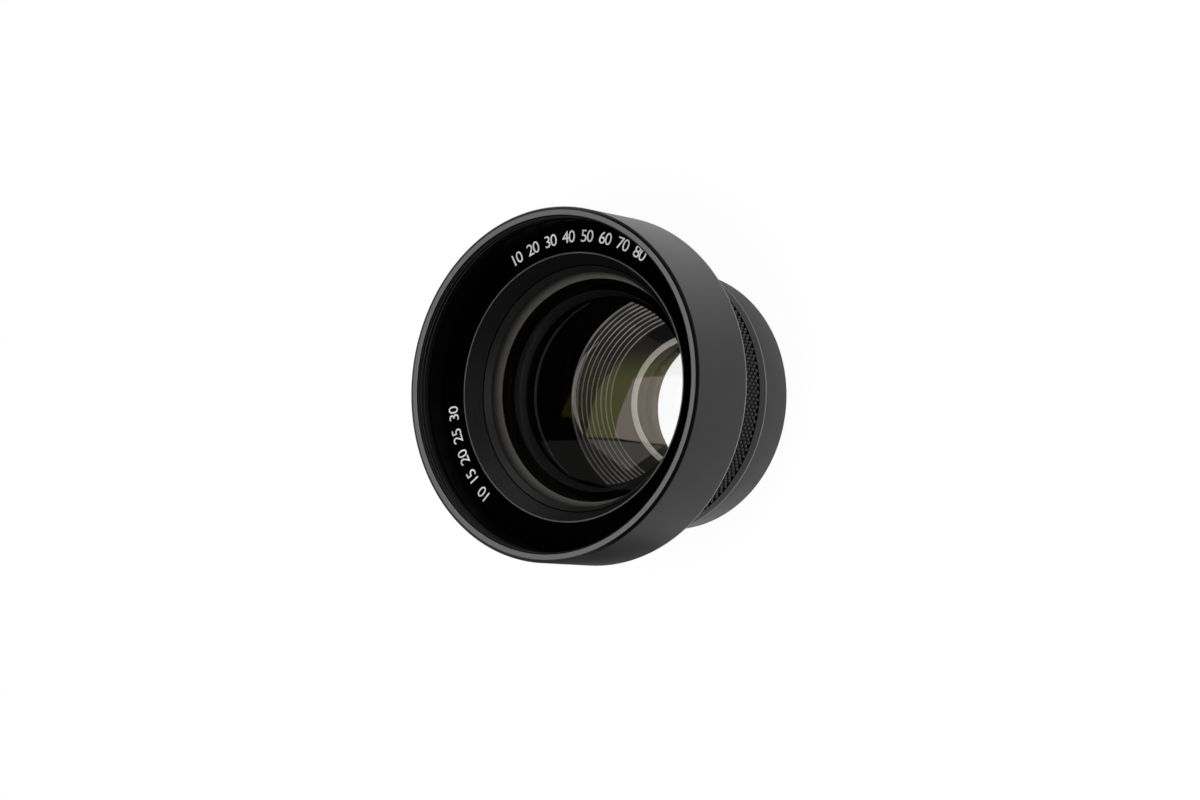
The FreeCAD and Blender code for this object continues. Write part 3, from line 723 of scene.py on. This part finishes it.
def makeRearLens(s):
    front = arcPoints(-s["sphere"], s["top"] - sag(s["sphere"], s["land"]), 0, s["land"], 20)
    rear = arcPoints(s["sphere"], s["foot"] + sag(s["sphere"], s["land"]), 0, s["land"], 20)
    lens = spun("rear_lens_polished", front + rim(s) + rear[::-1], "rearGlass", 160, crisp=6)
    lens = dressed(lens, "edgeGrey", lambda face: axisDistance(face) > s["land"] * mm)
    return dressed(lens, "groundGlass", lambda face: axisDistance(face) > s["land"] * mm and face.normal.z > 0.5)


placed(makeFrontLens(frontLens), "front_glass", "front_element")
placed(makePairLens(pairLens), "crown_glass", "crown_element", "flint_element")
placed(makeRearLens(rearLens), "rear_glass", "rear_element")
print("lenses polished")


# Light trap behind the pair

trap = {"collar": 20.5, "collarFoot": 15.394, "top": 17.394, "outer": 18.8, "foot": 5.2, "bore": 17.35,
        "wallFoot": 17.25, "firstRib": 16.9, "endRadius": 13.0, "ribsTop": 8.1, "drop": 2.1, "ribs": 8,
        "crest": 0.2, "depth": 0.6}


def makeTrap(s):
    drop, pitch = s["drop"] / s["ribs"], (s["firstRib"] - s["endRadius"]) / s["ribs"]
    corners = [(s["endRadius"], s["foot"]), (s["outer"], s["foot"]), (s["outer"], s["collarFoot"]),
               (s["collar"], s["collarFoot"]), (s["collar"], s["top"]), (s["bore"], s["top"], 0.02),
               (s["wallFoot"], s["ribsTop"], 0.02)]
    for rib in range(s["ribs"]):
        crest, top = s["firstRib"] - rib * pitch, s["ribsTop"] - rib * drop
        corners += [(crest, top, 0.02), (crest - (pitch - s["crest"]) / 2, top - s["depth"], 0.02),
                    (crest - pitch + s["crest"], top - drop, 0.02)]
    corners.append((s["endRadius"], s["ribsTop"] - s["drop"], 0.02))
    piece = spun("light_trap_ribbed", softened(corners, steps=3), "faceBlack")
    ribbed = (s["ribsTop"] + 0.01) * mm
    piece = dressed(piece, "trapBlack", lambda face: face.center.z < ribbed)
    # painted highlight: the front-facing crests of the ribs are painted light grey
    return dressed(piece, "crestPaintedLight", lambda face: face.center.z < ribbed and face.normal.z > 0.8)


placed(makeTrap(trap), "trap_plastic", "light_trap")

# nodes whose own mesh is kept get their finish
carried = {"front_cell": "cellBlack", "setting_shim": "shimBrass", "main_tube": "cellBlack", "rear_cell": "cellBlack",
           "rear_retaining_ring": "ringBlack", "front_cell_screws": "screwBlack", "rear_cell_screws": "screwBlack",
           "centring_screws": "screwBlack"}
for nodeName, finishName in carried.items():
    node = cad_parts[nodeName]
    node.data.materials.clear()
    node.data.materials.append(finishes[finishName])
print("carried-over nodes finished")


# Floor, lamps and camera

# shadowShare is how much of the real shadow the floor shows. The floor that the barrel mirrors is shaded beyond the
# radii in shade (mm), in two patches with their limits in m: under, and beside, which has the strength shadeBeside.
studio = {"floorSize": 3.0, "floorWhite": 0.86, "shadowShare": 0.05, "mirrorNear": 0.12, "mirrorFar": 0.6,
          "throughGlass": 1.35, "shade": (25.5, 33.0), "shadeWhite": 0.05, "shadeBeside": 0.52,
          "under": {"X": (0.035, 0.0), "Y": (-0.03, -0.055)}, "beside": {"X": (-0.01, 0.03), "Y": (0.062, 0.018)},
          "horizon": 0.35, "overhead": 0.001, "dimming": (0.05, 0.55), "whiteBelow": (0.1, -0.1)}
# each lamp stands in a direction, at a distance, turned about its own beam; glow is its surface brightness
lamps = {
    "frontBox": {"way": (0.05, -0.08, 0.99), "far": 0.75, "size": (0.52, 0.62), "turn": -28, "glow": 4.0,
                 "mirrored": False},
    "lowBox": {"way": (0.32, -0.40, 0.86), "far": 0.8, "size": (0.8, 0.40), "turn": 0, "glow": 4.6,
               "mirrored": False},
    "topBox": {"way": (0.12, 0.87, 0.48), "far": 0.85, "size": (0.70, 0.40), "turn": 0, "glow": 3.4},
    "rightBox": {"way": (0.86, 0.12, 0.50), "far": 0.9, "size": (0.50, 0.60), "turn": 0, "glow": 2.0},
}


# between these heights, in m along Y, a card goes over to its top colour
cardFade = (0.05, 0.25)
# cards that only mirrored rays see, so the front glass shows them as reflections; corners in m
cards = {
    "greenCard": {"colour": (0.75, 0.77, 0.28), "glow": 0.35, "top": (0.12, 0.115, 0.10), "corners": (
        (-0.064, 0.291, 0.663), (-0.122, 0.230, 0.680), (-0.189, 0.139, 0.689), (-0.251, 0.077, 0.679),
        (-0.294, -0.011, 0.665), (-0.325, -0.096, 0.643), (-0.346, -0.150, 0.620), (-0.211, -0.171, 0.675),
        (0.037, -0.220, 0.693), (0.127, -0.233, 0.678), (0.196, -0.020, 0.702), (0.187, 0.181, 0.680),
        (0.125, 0.210, 0.686))},
    "pinkCard": {"colour": (0.62, 0.54, 0.50), "glow": 1.1, "corners": (
        (-0.072, 0.077, 0.621), (-0.085, 0.045, 0.622), (-0.118, -0.018, 0.618), (-0.150, -0.088, 0.604),
        (-0.168, -0.147, 0.587), (0.034, -0.189, 0.598), (0.112, -0.201, 0.584), (0.171, -0.017, 0.605),
        (0.128, 0.087, 0.610))},
    "lowCard": {"colour": (0.6, 0.6, 0.6), "glow": 0.055, "corners": (
        (-0.559, -0.123, 0.433), (-0.349, -0.162, 0.615), (-0.212, -0.184, 0.671), (0.035, -0.228, 0.691),
        (0.126, -0.242, 0.675), (0.047, -0.334, 0.643), (-0.046, -0.384, 0.614), (-0.126, -0.394, 0.595),
        (-0.212, -0.384, 0.576), (-0.287, -0.355, 0.561), (-0.351, -0.324, 0.541), (-0.443, -0.285, 0.491),
        (-0.514, -0.202, 0.461))},
    "veilCard": {"colour": (0.6, 0.56, 0.56), "glow": 0.42, "corners": (
        (-0.300, -0.142, 0.554), (-0.186, -0.162, 0.599), (-0.060, -0.184, 0.619), (0.046, -0.204, 0.614),
        (0.002, -0.225, 0.608), (-0.048, -0.248, 0.596), (-0.134, -0.283, 0.565), (-0.182, -0.247, 0.569),
        (-0.234, -0.203, 0.567))},
    "oliveCard": {"colour": (0.6, 0.6, 0.1), "glow": 0.08, "corners": (
        (-0.525, -0.050, 0.631), (-0.442, 0.082, 0.692), (-0.354, 0.229, 0.710), (-0.144, 0.152, 0.802),
        (-0.193, -0.005, 0.806), (-0.243, -0.144, 0.779))},
    # the bright edge of a ring, mirrored as a thin arc: out along one side of the strip and back along the other
    "arcCard": {"colour": (0.62, 0.55, 0.55), "glow": 1.0, "strip": True, "corners": (
        (-0.2210, 0.2036, 0.5025), (-0.2557, 0.1745, 0.4967), (-0.2788, 0.1511, 0.4916), (-0.2957, 0.1203, 0.4901),
        (-0.3082, 0.0897, 0.4889), (-0.3165, 0.0540, 0.4888), (-0.3205, 0.0233, 0.4886), (-0.3202, -0.0077, 0.4894),
        (-0.3155, -0.0390, 0.4910), (-0.3061, -0.0659, 0.4943), (-0.2946, -0.0930, 0.4971), (-0.2839, -0.1125, 0.4994),
        (-0.2807, -0.1119, 0.5015), (-0.2866, -0.0941, 0.5018), (-0.2944, -0.0672, 0.5016), (-0.3014, -0.0405, 0.5002),
        (-0.3049, -0.0090, 0.4996), (-0.3046, 0.0222, 0.4994), (-0.3012, 0.0533, 0.4991), (-0.2935, 0.0868, 0.4990),
        (-0.2820, 0.1177, 0.4993), (-0.2694, 0.1486, 0.4979), (-0.2492, 0.1711, 0.5014), (-0.2178, 0.2022, 0.5047))},
}


def makeCard(name, s):
    mesh = bpy.data.meshes.new(name)
    middle = sum((Vector(c) for c in s["corners"]), Vector()) / len(s["corners"])
    count = len(s["corners"])
    faces = [(i, (i + 1) % count, count) for i in range(count)]
    if s.get("strip"):
        faces = [(i, i + 1, count - 2 - i, count - 1 - i) for i in range(count // 2 - 1)]
    mesh.from_pydata([*s["corners"], middle], [], faces)
    card = bpy.data.objects.new(name, mesh)
    bpy.context.scene.collection.objects.link(card)
    finish, place = newFinish(name)
    top = s.get("top", s["colour"])
    colour = mixColours(place.part("Y").between(*cardFade), (*s["colour"], 1), (*top, 1))
    glow = place.node("ShaderNodeEmission", {}, {"Color": colour, "Strength": s["glow"]})
    mesh.materials.append(closeFinish(finish, glow))
    card.visible_camera = card.visible_diffuse = card.visible_transmission = card.visible_shadow = False


def makeFloor(s):
    half = s["floorSize"] / 2
    mesh = bpy.data.meshes.new("floor")
    corners = [(-half, -half, 0), (half, -half, 0), (half, half, 0), (-half, half, 0)]
    mesh.from_pydata(corners, [], [(0, 1, 2, 3)])
    floor = bpy.data.objects.new("floor", mesh)
    bpy.context.scene.collection.objects.link(floor)
    finish, place = newFinish("paleFloor")
    radius = roundTheAxis(place)[0]
    through = place.node("ShaderNodeLightPath", out="Is Transmission Ray")
    clear = place.node("ShaderNodeLightPath", out="Is Camera Ray").maths("MAXIMUM", through)
    mirrored = place.node("ShaderNodeLightPath", out="Is Glossy Ray")
    mirrored = mirrored * radius.between(s["mirrorNear"] * 1000, s["mirrorFar"] * 1000)
    seen = clear.maths("MAXIMUM", mirrored) * (1 - s["shadowShare"])
    paper = place.node("ShaderNodeTexNoise", {}, {"Vector": place, "Scale": 40.0})
    white = mixColours(paper, grey(s["floorWhite"]), grey(s["floorWhite"] + 0.02))
    # the barrel mirrors a floor that the lens itself shades
    x, y = place.part("X"), place.part("Y")
    under = y.between(*s["under"]["Y"]) * x.between(*s["under"]["X"])
    beside = x.between(*s["beside"]["X"], 0, s["shadeBeside"]) * y.between(*s["beside"]["Y"])
    shaded = place.node("ShaderNodeLightPath", out="Is Glossy Ray") * radius.between(*s["shade"])
    shaded = shaded * under.maths("MAXIMUM", beside)
    white = mixColours(shaded, white, grey(s["shadeWhite"]))
    matt = place.node("ShaderNodeBsdfDiffuse", {}, {"Color": white})
    plain = place.node("ShaderNodeEmission", {}, {"Color": grey(1), "Strength": 1.0})
    lifted = place.node("ShaderNodeEmission", {}, {"Color": grey(1), "Strength": s["throughGlass"]})
    glow = place.node("ShaderNodeMixShader", {}, {0: through, 1: plain, 2: lifted})
    mesh.materials.append(closeFinish(finish, place.node("ShaderNodeMixShader", {}, {0: seen, 1: matt, 2: glow})))


def makeWorld(s):
    # white behind the object, a pale horizon and dark overhead
    world = bpy.data.worlds.new("studio")
    bpy.context.scene.world = world
    world.use_nodes = True
    world.node_tree.nodes.clear()
    start = Wire(world.node_tree)
    height = start.node("ShaderNodeTexCoord", out="Generated").part("Z")
    level = height.between(*s["dimming"], s["horizon"], s["overhead"])
    seen = start.node("ShaderNodeLightPath", out="Is Camera Ray")
    mirrored = start.node("ShaderNodeLightPath", out="Is Glossy Ray")
    mirrored = mirrored.maths("MAXIMUM", start.node("ShaderNodeLightPath", out="Is Transmission Ray"))
    white = seen.maths("MAXIMUM", mirrored * height.between(*s["whiteBelow"]))
    dim = start.node("ShaderNodeBackground", {}, {"Color": grey(1), "Strength": level})
    full = start.node("ShaderNodeBackground", {}, {"Color": grey(1), "Strength": 1.0})
    mixed = start.node("ShaderNodeMixShader", {}, {0: white, 1: dim, 2: full})
    start.node("ShaderNodeOutputWorld", {}, {"Surface": mixed})


def makeLamp(name, s):
    data = bpy.data.lights.new(name, "AREA")
    data.shape = "RECTANGLE"
    data.size, data.size_y = s["size"]
    data.energy = s["glow"] * math.pi * data.size * data.size_y
    lamp = bpy.data.objects.new(name, data)
    bpy.context.scene.collection.objects.link(lamp)
    lamp.visible_transmission = False
    lamp.visible_glossy = s.get("mirrored", True)
    way = Vector(s["way"]).normalized()
    side = Vector((0, 1, 0)).cross(way).normalized()
    upright = way.cross(side)
    facing = Matrix((side, upright, way)).transposed() @ Matrix.Rotation(math.radians(s["turn"]), 3, "Z")
    lamp.matrix_world = Matrix.Translation(way * s["far"] + Vector((0, 0, 0.03))) @ facing.to_4x4()


makeFloor(studio)
makeWorld(studio)
for lampName, lampLook in lamps.items():
    makeLamp(lampName, lampLook)
for cardName, cardLook in cards.items():
    makeCard(cardName, cardLook)

# the camera's place in m, its three axes and its lens in mm
view = {"at": (0.2508362, -0.0401914, 0.3850117), "right": (0.8181375, 0.0, -0.5750226),
        "up": (0.0502800, 0.9961696, 0.0715403), "back": (0.5728201, -0.0874420, 0.8150037), "lens": 64.7835}

cameraData = bpy.data.cameras.new("camera")
cameraData.lens = view["lens"]
cameraData.sensor_width = 36.0
cameraData.sensor_fit = "HORIZONTAL"
cameraData.clip_start = 0.01
camera = bpy.data.objects.new("camera", cameraData)
bpy.context.scene.collection.objects.link(camera)
turned = Matrix((view["right"], view["up"], view["back"])).transposed().to_4x4()
turned.translation = view["at"]
camera.matrix_world = turned
bpy.context.scene.camera = camera
bpy.context.scene.view_settings.view_transform = "Standard"
print("studio ready")
